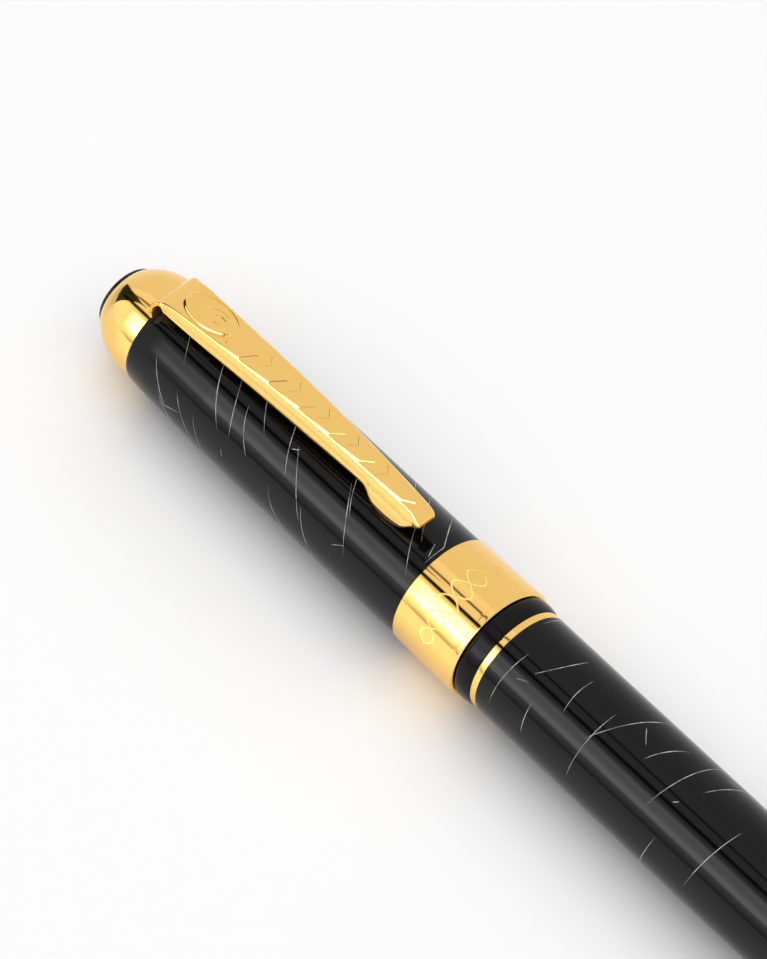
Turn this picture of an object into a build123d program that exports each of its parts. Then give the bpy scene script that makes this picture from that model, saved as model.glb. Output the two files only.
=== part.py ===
"""Rollerball pen with a pull-off cap, lying level with its clip on top.

X runs along the pen towards its tail and is 0 at the barrel's mouth. Z is up, and the clip is at +Z.
Every size is in millimetres.
"""
import math
import os

from build123d import *

# ---- driving dimensions ------------------------------------------------------------------------------
BARREL_R = 6.6            # barrel, cylindrical for the first BARREL_STRAIGHT
BARREL_STRAIGHT = 36.0
BARREL_END = 69.0
BARREL_END_R = 5.45
BARREL_WALL = 0.55
TAIL_END = 75.6

CAP_R = 6.94              # cap tube at its widest
CAP_LIP_X = -3.30         # open end of the cap
CAP_BAND_X = -12.84       # front edge of the gold band
CAP_BAND_R = 7.15
CAP_TOP_X = -59.20        # where the finial dome sits on the cap tube
CAP_TOP_R = 6.40
CAP_BORE_R = 6.38
CAP_TOP_BORE_R = 5.95     # narrower bore at the closed end
CAP_BORE_STEP_X = -48.0
FINIAL_END_X = -66.0
JEWEL_R = 4.1
JEWEL_SIDE = 0.45         # how far the jewel's side stands proud of the dome
JEWEL_CROWN = 0.45

TRIM_RING_X = -0.95       # thin gold ring between the collar and the barrel
RING_GAP = 0.03
FIT = 0.05                # clearance between faces of pieces that move on each other

GRIP_FRONT_X = -43.5
NOSE_END_X = -48.2
LAND_X = -12.5            # front of the land that carries the snap ring
LAND_R = 5.85
SNAP_X = -8.6             # middle of the snap ring
SNAP_WIDTH = 1.0
SNAP_GROOVE_R = 5.40
SNAP_SPLIT_ANGLE = 30.0
SLEEVE_BORE_R = 6.0       # metal sleeve that the snap ring grips

REFILL_R = 3.05
REFILL_WALL = 0.30
REFILL_TUBE_X = -37.5
REFILL_END_X = 60.0
REFILL_BORE_R = 3.25      # bore through the section for the refill
BALL_R = 0.35
BALL_X = -49.65
BALL_PLAY = 0.02

THREAD_PITCH = 1.0
THREAD_CREST_R = 5.08
THREAD_ROOT_R = 4.75
THREAD_START_X = 1.6
THREAD_TURNS = 8
BUSH_BORE_R = 5.15
BUSH_END_X = 11.0
INSERT_R = 4.6
INSERT_FRONT_X = -10.0
INSERT_END_X = 10.2

SPRING_R = 2.0            # mean radius of the refill spring's coils
SPRING_WIRE_R = 0.25
SPRING_PITCH = 1.2
SPRING_END_X = 65.5
TAIL_BUSH_X = 66.0
TAIL_BORE_R = 4.75

STUD_R = 1.6
STUD_CLEAR_R = 1.75
INNER_CAP_TOP_X = -58.70
INNER_CAP_FLOOR_X = -57.20
INNER_CAP_WALL = 0.50

CLIP_SHEET = 0.45
CLIP_NECK_BASE_Z = 7.25
CLIP_NECK_HALF = 2.70
CLIP_EDGE_R = 0.42

# Clip blade: height of its top, half its width and height of its flanges' lower edge, along X
CLIP_TOP = [(-57.3, 10.00), (-55.0, 10.70), (-50.0, 11.22), (-44.0, 11.68), (-38.0, 11.95), (-32.0, 12.03),
            (-26.0, 11.88), (-20.5, 11.52), (-16.9, 11.12)]
CLIP_HALF_WIDTH = [(-59.3, 2.78), (-56.0, 2.78), (-50.0, 2.58), (-44.0, 2.36), (-38.0, 2.15), (-31.0, 1.92),
                   (-25.0, 1.72), (-15.0, 1.40)]
FLANGE_Z = 9.2
CLIP_HEAD_RISE = 0.38     # slope of the blade where it leaves the head's bend
LOBE_START_X = -23.9
LOBE_LOW = (-20.4, 7.08)
LOBE_END = (-17.3, 8.45)


# ---- shared shapes -----------------------------------------------------------------------------------
def tube(start, end, outer, inner=0.0):
    """A straight tube or rod about the pen's axis."""
    with BuildPart() as piece:
        with BuildSketch(Plane.YZ.offset(start)):
            Circle(outer)
            if inner:
                Circle(inner, mode=Mode.SUBTRACT)
        extrude(amount=end - start)
    return piece


def turned(outline):
    """A solid turned about the pen's axis from a closed outline of (x, radius) points."""
    with BuildPart() as piece:
        with BuildSketch(Plane.XZ):
            with BuildLine():
                Polyline(*outline, close=True)
            make_face()
        revolve(axis=Axis.X)
    return piece


# ---- section: the front half that stays in the hand ---------------------------------------------------
def grip_section():
    """Black grip with the land for the snap ring and the collar that stops the cap."""
    collar_x = CAP_LIP_X + FIT
    ring_x = TRIM_RING_X
    with BuildPart() as piece:
        with BuildSketch(Plane.XZ):
            with BuildLine():
                Line((GRIP_FRONT_X, 4.2), (GRIP_FRONT_X, 4.72))
                Spline((GRIP_FRONT_X, 4.72), (-36.0, 4.95), (-24.0, 5.25), (-15.0, 5.52))
                Line((-15.0, 5.52), (LAND_X, LAND_R))
                Line((LAND_X, LAND_R), (collar_x, LAND_R))
                Line((collar_x, LAND_R), (collar_x, 6.62))
                ThreePointArc((collar_x, 6.62), (-2.95, 6.84), (-2.5, 6.86))
                ThreePointArc((-2.5, 6.86), (-1.7, 6.80), (ring_x, BARREL_R - 0.02))
                Polyline((ring_x, BARREL_R - 0.02), (ring_x, INSERT_R), (INSERT_FRONT_X, INSERT_R),
                         (INSERT_FRONT_X, REFILL_BORE_R), (-39.5, REFILL_BORE_R), (-39.5, 4.2),
                         (GRIP_FRONT_X, 4.2))
            make_face()
        revolve(axis=Axis.X)
        with BuildSketch(Plane.YZ.offset(SNAP_X - SNAP_WIDTH / 2 - FIT)):
            Circle(LAND_R + 1)
            Circle(SNAP_GROOVE_R, mode=Mode.SUBTRACT)
        extrude(amount=SNAP_WIDTH + 2 * FIT, mode=Mode.SUBTRACT)
    return piece


def nose_cone():
    """Gold cone screwed into the grip's front end; the refill's tip stands out of it."""
    with BuildPart() as piece:
        with BuildSketch(Plane.XZ):
            with BuildLine():
                Polyline((-39.5, 4.2), (GRIP_FRONT_X, 4.2), (GRIP_FRONT_X, 4.72), (-44.1, 4.72),
                         (-44.3, 4.55))
                ThreePointArc((-44.3, 4.55), (-46.4, 3.2), (-48.0, 1.85))
                Polyline((-48.0, 1.85), (NOSE_END_X, 1.7), (NOSE_END_X, 1.35), (-44.0, 1.35),
                         (-41.0, REFILL_BORE_R), (-39.5, REFILL_BORE_R), (-39.5, 4.2))
            make_face()
        revolve(axis=Axis.X)
    return piece


def section_insert():
    """Brass insert pressed into the grip, with the male thread that takes the barrel."""
    outline = [(INSERT_FRONT_X, REFILL_BORE_R), (INSERT_FRONT_X, INSERT_R), (0.25, INSERT_R)]
    outline += [(0.25, 4.45), (1.15, 4.45), (1.15, THREAD_ROOT_R)]
    for turn in range(THREAD_TURNS):
        foot = THREAD_START_X + turn * THREAD_PITCH
        outline += [(foot, THREAD_ROOT_R), (foot + 0.3 * THREAD_PITCH, THREAD_CREST_R),
                    (foot + 0.5 * THREAD_PITCH, THREAD_CREST_R), (foot + 0.8 * THREAD_PITCH, THREAD_ROOT_R)]
    outline += [(INSERT_END_X, THREAD_ROOT_R), (INSERT_END_X, REFILL_BORE_R)]
    return turned(outline)


def section_ring():
    """Thin gold trim ring trapped between the collar and the barrel."""
    with BuildPart() as piece:
        with BuildSketch(Plane.YZ.offset(TRIM_RING_X)):
            Circle(BARREL_R)
            Circle(INSERT_R, mode=Mode.SUBTRACT)
        extrude(amount=-TRIM_RING_X - RING_GAP)
        outer_edges = piece.edges().filter_by(GeomType.CIRCLE).sort_by(SortBy.RADIUS)[-2:]
        fillet(outer_edges, radius=0.12)
    return piece


def o_ring():
    """Rubber ring in a groove at the thread's root, which keeps the barrel from working loose."""
    with BuildPart() as piece:
        with BuildSketch(Plane.XZ):
            with Locations((0.70, 4.78)):
                Circle(0.33)
        revolve(axis=Axis.X)
    return piece


# ---- snap ring: turns in its groove and holds the cap -----------------------------------------------
def snap_ring():
    """Split spring ring in the section's groove."""
    half_split = math.radians(SNAP_SPLIT_ANGLE / 2)
    reach = CAP_R + 2
    with BuildPart() as piece:
        with BuildSketch(Plane.YZ.offset(SNAP_X - SNAP_WIDTH / 2)):
            Circle(SLEEVE_BORE_R - FIT)
            Circle(SNAP_GROOVE_R + FIT, mode=Mode.SUBTRACT)
            with BuildLine():
                Polyline((0, 0), (reach * math.sin(half_split), -reach * math.cos(half_split)),
                         (-reach * math.sin(half_split), -reach * math.cos(half_split)), close=True)
            make_face(mode=Mode.SUBTRACT)
        extrude(amount=SNAP_WIDTH)
    return piece


# ---- cap --------------------------------------------------------------------------------------------------
def cap_tube():
    """Lacquered tube of the cap, tapering to the finial, with the notch for the clip's neck."""
    taper = [(-47.0, CAP_R), (-50.9, 6.83), (-53.5, 6.75), (-56.4, 6.66), (CAP_TOP_X, CAP_TOP_R)]
    under_band = 6.62
    rear = CAP_LIP_X - 0.9
    with BuildPart() as piece:
        with BuildSketch(Plane.XZ):
            with BuildLine():
                Spline(*taper, tangents=[(-1, 0), (-1, -0.18)])
                Polyline((CAP_TOP_X, CAP_TOP_R), (CAP_TOP_X, CAP_TOP_BORE_R),
                         (CAP_BORE_STEP_X, CAP_TOP_BORE_R), (CAP_BORE_STEP_X, CAP_BORE_R),
                         (rear, CAP_BORE_R), (rear, under_band), (CAP_BAND_X, under_band),
                         (CAP_BAND_X, CAP_R), (-47.0, CAP_R))
            make_face()
        revolve(axis=Axis.X)
        with BuildSketch(Plane.XY.offset(CAP_TOP_BORE_R - 2)):
            with Locations((CAP_TOP_X, 0)):
                Rectangle(3.0, 2 * CLIP_NECK_HALF + 0.3)
        extrude(amount=4, mode=Mode.SUBTRACT)
    return piece


def cap_band():
    """Wide gold band over the cap's open end, with a rolled bead at the lip."""
    under_band = 6.62
    bead_x = CAP_LIP_X - 0.85
    with BuildPart() as piece:
        with BuildSketch(Plane.XZ):
            with BuildLine():
                Polyline((CAP_BAND_X, under_band), (CAP_BAND_X, CAP_BAND_R - 0.1),
                         (CAP_BAND_X + 0.1, CAP_BAND_R), (bead_x - 0.2, CAP_BAND_R),
                         (bead_x - 0.05, CAP_BAND_R - 0.14), (bead_x, CAP_BAND_R - 0.14))
                ThreePointArc((bead_x, CAP_BAND_R - 0.14), (bead_x + 0.42, CAP_BAND_R + 0.04),
                              (CAP_LIP_X, CAP_BAND_R - 0.22))
                Polyline((CAP_LIP_X, CAP_BAND_R - 0.22), (CAP_LIP_X, CAP_BORE_R),
                         (CAP_LIP_X - 0.9, CAP_BORE_R), (CAP_LIP_X - 0.9, under_band),
                         (CAP_BAND_X, under_band))
            make_face()
        revolve(axis=Axis.X)
    return piece


def cap_sleeve():
    """Metal sleeve pressed into the cap's mouth, which the snap ring grips."""
    return tube(-14.2, -4.3, CAP_BORE_R, SLEEVE_BORE_R)


def inner_cap():
    """Plastic inner cap that keeps the tip from drying and takes the finial's stud."""
    wide_outer = CAP_BORE_R - FIT
    wide_inner = wide_outer - INNER_CAP_WALL
    narrow_outer = CAP_TOP_BORE_R - FIT
    narrow_inner = CAP_TOP_BORE_R - 0.65
    step = CAP_BORE_STEP_X + 0.3
    return turned([
        (INNER_CAP_TOP_X, STUD_CLEAR_R), (INNER_CAP_TOP_X, narrow_outer),
        (CAP_BORE_STEP_X + FIT, narrow_outer), (CAP_BORE_STEP_X + FIT, wide_outer), (-14.6, wide_outer),
        (-14.6, wide_inner), (step, wide_inner), (step - 0.4, narrow_inner),
        (INNER_CAP_FLOOR_X, narrow_inner), (INNER_CAP_FLOOR_X, STUD_CLEAR_R)])


def clip_ring():
    """Flat root ring of the clip, clamped under the dome, with the tab that comes out of the notch."""
    with BuildPart() as piece:
        with BuildSketch(Plane.YZ.offset(CAP_TOP_X)):
            Circle(CAP_TOP_BORE_R - FIT)
            with Locations((0, 5.0)):
                Rectangle(2 * CLIP_NECK_HALF, 2 * (CLIP_NECK_BASE_Z - FIT - 5.0))
            Circle(STUD_CLEAR_R, mode=Mode.SUBTRACT)
        extrude(amount=CLIP_SHEET)
    return piece


def finial_dome():
    """Gold dome on the cap's end, with a seat for the jewel and a blind hole for the stud."""
    seat_x = FINIAL_END_X + 1.0
    with BuildPart() as piece:
        with BuildSketch(Plane.XZ):
            with BuildLine():
                Line((CAP_TOP_X, STUD_R), (CAP_TOP_X, CAP_TOP_R - 0.05))
                Spline((CAP_TOP_X, CAP_TOP_R - 0.05), (-60.4, 6.44), (-62.0, 6.27), (-63.6, 5.77),
                       (-65.0, 4.98), (FINIAL_END_X, JEWEL_R + 0.12), tangents=[(-1, 0.25), (-0.75, -0.95)])
                Polyline((FINIAL_END_X, JEWEL_R + 0.12), (FINIAL_END_X, JEWEL_R), (seat_x, JEWEL_R),
                         (seat_x, 0), (-63.4, 0), (-63.4, STUD_R), (CAP_TOP_X, STUD_R))
            make_face()
        revolve(axis=Axis.X)
    return piece


def domed_jewel(edge, seat, radius, bulge, side=0.0):
    """Plain black jewel: a disc with a slightly bulging face. edge is where its side comes out of the seat, and
    side is how far the side stands proud before the face begins."""
    outward = math.copysign(1, edge - seat)
    front = edge + outward * side
    ball_r = (radius ** 2 + bulge ** 2) / (2 * bulge)
    ball_x = front + outward * (bulge - ball_r)
    half_angle = math.asin(radius / ball_r) / 2
    on_arc = (ball_x + outward * ball_r * math.cos(half_angle), ball_r * math.sin(half_angle))
    pole = (front + outward * bulge, 0)
    with BuildPart() as piece:
        with BuildSketch(Plane.XZ):
            with BuildLine():
                ThreePointArc((front, radius), on_arc, pole)
                Polyline(pole, (seat, 0), (seat, radius), (front, radius))
            make_face()
        revolve(axis=Axis.X)
    return piece


def finial_jewel():
    return domed_jewel(FINIAL_END_X, FINIAL_END_X + 1.0, JEWEL_R, JEWEL_CROWN, JEWEL_SIDE)


def cap_stud():
    """Slotted stud through the inner cap and the clip's ring into the dome."""
    head_x = INNER_CAP_FLOOR_X + 0.4
    with BuildPart() as piece:
        with BuildSketch(Plane.YZ.offset(-63.4)):
            Circle(STUD_R)
        extrude(amount=head_x + 63.4)
        with BuildSketch(Plane.YZ.offset(head_x)):
            Circle(2.9)
        extrude(amount=1.2)
        with BuildSketch(Plane.YZ.offset(head_x + 0.6)):
            Rectangle(0.7, 6.2)
        extrude(amount=0.7, mode=Mode.SUBTRACT)
    return piece


def stud_washer():
    """Washer under the stud's head."""
    return tube(INNER_CAP_FLOOR_X, INNER_CAP_FLOOR_X + 0.4, 3.5, STUD_CLEAR_R)


# ---- clip --------------------------------------------------------------------------------------------------
def clip_blade():
    """Folded sheet blade: a channel open below, with lobes that meet the cap and a sloping tip."""
    sheet = CLIP_SHEET
    tip_top = CLIP_TOP[-1]
    head = CLIP_TOP[0]
    neck_x = CAP_TOP_X
    plan = CLIP_HALF_WIDTH
    with BuildPart() as piece:
        # side view of the whole channel, solid
        with BuildSketch(Plane.XZ.offset(-4)):
            with BuildLine():
                Spline(*CLIP_TOP, tangents=[(1, CLIP_HEAD_RISE), (1, -0.16)])
                Spline(tip_top, (-16.0, 10.55), (-15.6, 9.85), (-16.1, 9.3), LOBE_END,
                       tangents=[(1, -0.34), (-0.6, -0.8)])
                ThreePointArc(LOBE_END, (-18.6, 7.44), LOBE_LOW)
                ThreePointArc(LOBE_LOW, (-22.3, 7.60), (LOBE_START_X, FLANGE_Z))
                Polyline((LOBE_START_X, FLANGE_Z), (head[0] + 0.6, FLANGE_Z), (head[0], FLANGE_Z + 0.3), head)
            make_face()
        extrude(amount=8)
        # plan view: tapering sides with a rounded tip
        with BuildSketch(Plane.XY.offset(6)):
            with BuildLine():
                Spline(*plan)
                Line(plan[-1], (plan[-1][0], -plan[-1][1]))
                Spline(*[(x, -half) for x, half in reversed(plan)])
                Line((plan[0][0], -plan[0][1]), plan[0])
            make_face()
        extrude(amount=8, mode=Mode.INTERSECT)
        long_edges = piece.edges().filter_by(lambda e: e.length > 30).sort_by(Axis.Z)[-2:]
        fillet(long_edges, radius=CLIP_EDGE_R)
        # hollow of the channel, open below and towards the neck
        with BuildSketch(Plane.XY.offset(6)):
            with BuildLine():
                Spline(*[(x, half - sheet) for x, half in plan])
                Line((plan[-1][0], plan[-1][1] - sheet), (plan[-1][0], sheet - plan[-1][1]))
                Spline(*[(x, sheet - half) for x, half in reversed(plan)])
                Line((plan[0][0], sheet - plan[0][1]), (plan[0][0], plan[0][1] - sheet))
            make_face()
        hollow_plan = extrude(amount=8, mode=Mode.PRIVATE)
        with BuildSketch(Plane.XZ.offset(-4)):
            with BuildLine():
                Spline(*[(x, z - sheet) for x, z in CLIP_TOP], tangents=[(1, CLIP_HEAD_RISE), (1, -0.16)])
                Polyline((tip_top[0], tip_top[1] - sheet), (-16.45, 10.3), (-16.15, 9.85), (-16.8, 9.0),
                         (-16.8, 6.0), (-59.0, 6.0), (-59.0, head[1] - sheet), (head[0], head[1] - sheet))
            make_face()
        hollow_side = extrude(amount=8, mode=Mode.PRIVATE)
        add(hollow_plan & hollow_side, mode=Mode.SUBTRACT)
        # neck: the sheet bends down at the head and stands on the root ring's tab
        with BuildSketch(Plane.XZ.offset(-CLIP_NECK_HALF)):
            with BuildLine():
                Line((neck_x, CLIP_NECK_BASE_Z), (neck_x, 7.55))
                Spline((neck_x, 7.55), (-58.65, 8.76), (-57.95, 9.62), head,
                       tangents=[(0, 1), (1, CLIP_HEAD_RISE)])
                Line(head, (head[0] + 0.17, head[1] - sheet + 0.04))
                Spline((head[0] + 0.17, head[1] - sheet + 0.04), (-57.63, 9.27), (-58.26, 8.53),
                       (neck_x + sheet, 7.50), tangents=[(-1, -CLIP_HEAD_RISE), (0, -1)])
                Line((neck_x + sheet, 7.50), (neck_x + sheet, CLIP_NECK_BASE_Z))
                Line((neck_x + sheet, CLIP_NECK_BASE_Z), (neck_x, CLIP_NECK_BASE_Z))
            make_face()
        extrude(amount=2 * CLIP_NECK_HALF)
    return piece


# ---- barrel ------------------------------------------------------------------------------------------------
def barrel_tube():
    """Lacquered barrel: cylindrical at the front, easing in towards the tail."""
    wall = BARREL_WALL
    middle_x = (BARREL_STRAIGHT + BARREL_END) / 2
    with BuildPart() as piece:
        with BuildSketch(Plane.XZ):
            with BuildLine():
                Line((0, BARREL_R - wall), (0, BARREL_R))
                Line((0, BARREL_R), (BARREL_STRAIGHT, BARREL_R))
                Spline((BARREL_STRAIGHT, BARREL_R), (middle_x, 6.27), (BARREL_END, BARREL_END_R),
                       tangents=[(1, 0), (1, -0.075)])
                Line((BARREL_END, BARREL_END_R), (BARREL_END, TAIL_BORE_R))
                Polyline((BARREL_END, TAIL_BORE_R), (62.0, TAIL_BORE_R), (56.0, 5.2),
                         (BARREL_STRAIGHT, BARREL_R - wall), (0, BARREL_R - wall))
            make_face()
        revolve(axis=Axis.X)
    return piece


def barrel_bush():
    """Brass bush in the barrel's mouth that screws onto the section's thread."""
    return tube(0.1, BUSH_END_X, BARREL_R - BARREL_WALL, BUSH_BORE_R)


def tail_bush():
    """Brass plug in the barrel's tail: seat of the refill spring and anchor of the tail's stud."""
    return tube(TAIL_BUSH_X, BARREL_END, TAIL_BORE_R, STUD_R)


def tail_ring():
    """Gold trim ring between the barrel and the tail dome."""
    with BuildPart() as piece:
        with BuildSketch(Plane.YZ.offset(BARREL_END)):
            Circle(BARREL_END_R + 0.12)
            Circle(STUD_R, mode=Mode.SUBTRACT)
        extrude(amount=1.1)
        outer_edges = piece.edges().filter_by(GeomType.CIRCLE).sort_by(SortBy.RADIUS)[-2:]
        fillet(outer_edges, radius=0.3)
    return piece


def tail_dome():
    """Gold dome that closes the tail, a smaller sister of the finial."""
    base_x = BARREL_END + 1.1
    end_x = TAIL_END - 0.4
    jewel_r = 2.6
    with BuildPart() as piece:
        with BuildSketch(Plane.XZ):
            with BuildLine():
                Line((base_x, STUD_R), (base_x, 5.25))
                Spline((base_x, 5.25), (base_x + 1.4, 5.1), (base_x + 3.2, 4.35), (end_x, jewel_r + 0.12),
                       tangents=[(1, 0), (0.7, -0.95)])
                Polyline((end_x, jewel_r + 0.12), (end_x, jewel_r), (end_x - 0.8, jewel_r),
                         (end_x - 0.8, 0), (73.4, 0), (73.4, STUD_R), (base_x, STUD_R))
            make_face()
        revolve(axis=Axis.X)
    return piece


def tail_jewel():
    return domed_jewel(TAIL_END - 0.4, TAIL_END - 1.2, 2.6, 0.4)


def tail_stud():
    """Threaded rod that holds the tail dome and ring on the bush."""
    return tube(TAIL_BUSH_X + 0.6, 73.4, STUD_R)


# ---- refill and its spring ---------------------------------------------------------------------------
def refill_spring():
    """Compression spring behind the refill."""
    start_x = REFILL_END_X + 0.05 + SPRING_WIRE_R
    length = SPRING_END_X - SPRING_WIRE_R - start_x
    with BuildPart() as piece:
        with BuildLine() as coil:
            Helix(pitch=SPRING_PITCH, height=length, radius=SPRING_R, center=(start_x, 0, 0),
                  direction=(1, 0, 0))
        with BuildSketch(Plane(origin=coil.line @ 0, z_dir=coil.line % 0)):
            Circle(SPRING_WIRE_R)
        sweep(path=coil.line, is_frenet=True)
    return piece


def thrust_washer():
    """Washer between the spring and the tail bush, on which the barrel turns."""
    return tube(SPRING_END_X + 0.03, TAIL_BUSH_X - 0.04, 3.2, 1.1)


def refill_tube():
    """Body of the refill."""
    return tube(REFILL_TUBE_X, REFILL_END_X - 3.0, REFILL_R, REFILL_R - REFILL_WALL)


def refill_nose():
    """Plastic front of the refill that holds its metal tip."""
    bore = 1.15
    return turned([(-43.6, bore), (-43.6, 1.4), (-40.95, REFILL_R), (REFILL_TUBE_X, REFILL_R),
                   (REFILL_TUBE_X, REFILL_R - REFILL_WALL), (-33.5, REFILL_R - REFILL_WALL),
                   (-33.5, 0.3), (-42.0, 0.3), (-42.0, bore)])


def refill_tip():
    """Metal point with the socket for the ball."""
    lip_x = BALL_X - 0.16
    cavity_r = BALL_R + BALL_PLAY
    with BuildPart() as piece:
        with BuildSketch(Plane.XZ):
            with BuildLine():
                Polyline((lip_x, 0), (lip_x, 0.42), (-48.4, 1.15), (-42.0, 1.15), (-42.0, 0),
                         close=True)
            make_face()
        revolve(axis=Axis.X)
        with Locations((BALL_X, 0, 0)):
            Sphere(cavity_r, mode=Mode.SUBTRACT)
        with BuildSketch(Plane.YZ.offset(-49.5)):
            Circle(0.27)
        extrude(amount=8, mode=Mode.SUBTRACT)
    return piece


def tip_ball():
    """The ball that rolls ink onto the paper."""
    with BuildPart() as piece:
        with Locations((BALL_X, 0, 0)):
            Sphere(BALL_R)
    return piece


def feed_wick():
    """Thin fibre rod that carries ink from the reservoir to the ball."""
    return tube(BALL_X + BALL_R + 0.1, -32.6, 0.25)


def ink_reservoir():
    """Fibre core soaked with ink."""
    return tube(-32.6, 53.5, REFILL_R - REFILL_WALL - 0.05)


def refill_plug():
    """Plug in the refill's rear end, with a pilot for the spring."""
    return turned([(54.0, 0.4), (54.0, REFILL_R - REFILL_WALL), (57.0, REFILL_R - REFILL_WALL),
                   (57.0, REFILL_R), (REFILL_END_X, REFILL_R), (REFILL_END_X, 1.3),
                   (REFILL_END_X + 1.6, 1.1), (REFILL_END_X + 1.6, 0.4)])


# ---- output ------------------------------------------------------------------------------------------------
PIECES = [
    grip_section, nose_cone, section_insert, section_ring, o_ring, snap_ring,
    cap_tube, cap_band, cap_sleeve, inner_cap, clip_ring, finial_dome, finial_jewel, cap_stud, stud_washer,
    clip_blade,
    barrel_tube, barrel_bush, tail_bush, tail_ring, tail_dome, tail_jewel, tail_stud,
    refill_spring, thrust_washer,
    refill_tube, refill_nose, refill_tip, feed_wick, ink_reservoir, refill_plug, tip_ball,
]

os.makedirs("parts", exist_ok=True)
for make in PIECES:
    made = make()
    made.part.label = make.__name__
    export_step(made.part, f"parts/{make.__name__}.step")
    print(make.__name__, "written")
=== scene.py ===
"""Looks of a lacquered rollerball pen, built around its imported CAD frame.

The pen lies along X with its tail towards +X, and its clip is on top at +Z. Outlines are given in
millimetres and are turned into metres as they are made into meshes.
"""
import math

import bmesh
import bpy
import numpy as np
from mathutils import Matrix, Vector


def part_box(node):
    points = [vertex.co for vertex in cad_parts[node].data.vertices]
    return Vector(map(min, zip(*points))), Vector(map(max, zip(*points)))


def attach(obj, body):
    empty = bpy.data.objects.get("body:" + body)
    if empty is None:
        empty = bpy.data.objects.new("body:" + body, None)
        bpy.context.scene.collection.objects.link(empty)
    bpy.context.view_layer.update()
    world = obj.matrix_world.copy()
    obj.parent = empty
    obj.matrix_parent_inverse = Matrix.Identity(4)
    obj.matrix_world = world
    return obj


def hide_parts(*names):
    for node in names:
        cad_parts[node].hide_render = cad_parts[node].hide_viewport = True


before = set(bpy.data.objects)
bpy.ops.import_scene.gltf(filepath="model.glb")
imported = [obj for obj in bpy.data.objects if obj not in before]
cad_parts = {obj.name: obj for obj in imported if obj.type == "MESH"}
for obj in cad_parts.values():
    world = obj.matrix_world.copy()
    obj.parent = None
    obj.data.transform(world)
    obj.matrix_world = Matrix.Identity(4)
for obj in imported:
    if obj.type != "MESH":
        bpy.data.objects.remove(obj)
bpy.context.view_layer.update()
MM = 0.001


# ---- sizes read from the frame ----
def span(node):
    """Where a node starts and ends along the pen, and its outer radius, in millimetres."""
    low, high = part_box(node)
    return low[0] / MM, high[0] / MM, high[1] / MM


CAP_END, CAP_REAR, CAP_R = span("cap_tube")
CAP_TOP = CAP_END + 0.22     # the dome's edge laps over the end of the tube
BAND_X, LIP_X, BAND_R = span("cap_band")
DOME_X, _, DOME_R = span("finial_dome")
JEWEL_X, _, JEWEL_R = span("finial_jewel")
GRIP_X, COLLAR_REAR, COLLAR_R = span("grip_section")
NOSE_X, _, NOSE_R = span("nose_cone")
RING_X, RING_END, RING_R = span("section_ring")
BARREL_X, BARREL_END, BARREL_R = span("barrel_tube")
TAIL_RING_X, TAIL_RING_END, TAIL_RING_R = span("tail_ring")
TAIL_X, TAIL_END, _ = span("tail_dome")
_, _, TAIL_JEWEL_R = span("tail_jewel")
INSERT_X, INSERT_END, THREAD_R = span("section_insert")
_, _, BUSH_R = span("barrel_bush")
CLIP_X, _, _ = span("clip_blade")
BAND_FLAT_R = BAND_R - 0.04  # of the band between its edges
STUD_HOLE_R = 1.6            # in the dome, the tail's ring and the tail's dome
REFILL_BORE_R = 3.25
WALL = 0.56                  # of the cap tube beside the band
BAND_SEAT_DEPTH = 0.32       # the tube is cut this far down under the band


# ---- node trees as Python expressions ----
class Wire:
    """An output socket that can be used in arithmetic; each operator adds a Math node."""

    def __init__(self, tree, socket):
        self.tree = tree
        self.socket = socket

    def math(self, operation, *values):
        return self.tree.add("ShaderNodeMath", {"operation": operation}, dict(enumerate(values)))

    def __add__(self, other):
        return self.math("ADD", self, other)

    def __radd__(self, other):
        return self.math("ADD", other, self)

    def __sub__(self, other):
        return self.math("SUBTRACT", self, other)

    def __rsub__(self, other):
        return self.math("SUBTRACT", other, self)

    def __mul__(self, other):
        return self.math("MULTIPLY", self, other)

    def __rmul__(self, other):
        return self.math("MULTIPLY", other, self)

    def __truediv__(self, other):
        return self.math("DIVIDE", self, other)

    def sin(self):
        return self.math("SINE", self)

    def cos(self):
        return self.math("COSINE", self)

    def abs(self):
        return self.math("ABSOLUTE", self)

    def floor(self):
        return self.math("FLOOR", self)

    def power(self, exponent):
        return self.math("POWER", self, exponent)

    def atan2(self, other):
        return self.math("ARCTAN2", self, other)

    def smooth(self, low, high):
        """0 below low and 1 above high, with an eased step between."""
        return self.tree.add("ShaderNodeMapRange", {"interpolation_type": "SMOOTHSTEP"},
                             {"Value": self, "From Min": low, "From Max": high})


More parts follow.
